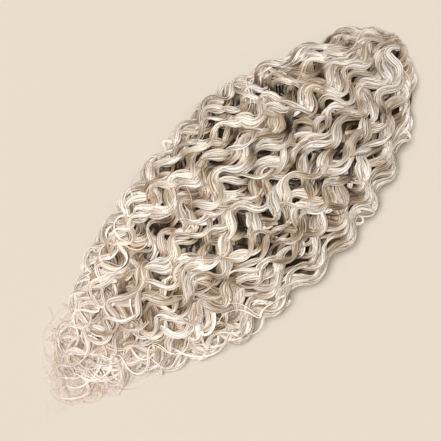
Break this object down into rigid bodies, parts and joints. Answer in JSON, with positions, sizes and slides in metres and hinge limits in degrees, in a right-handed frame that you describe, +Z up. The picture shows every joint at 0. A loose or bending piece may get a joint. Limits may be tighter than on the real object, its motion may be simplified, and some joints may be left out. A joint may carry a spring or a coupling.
{
  "type": "bundle of braiding hair",
  "caption": "Loose leaf-shaped bundle of curly hair extension: wavy flat locks drawn together to a blunt head, thinning to a wispy tail, lying flat ready to be braided in",
  "frame": {"origin": "middle of the bundle's box on the surface it lies on", "axes": "+X from the loose tail to the gathered head, +Y to the bundle's left, +Z up from the surface"},
  "size_m": [0.4501, 0.1849, 0.0508],
  "materials": {
    "hair": "ash-blonde synthetic hair fibre, satin"
  },
  "bodies": {
    "root": {"upper_locks": "hair", "lower_locks": "hair", "head_gather": "hair", "wrap_lock": "hair"}
  },
  "joints": []
}
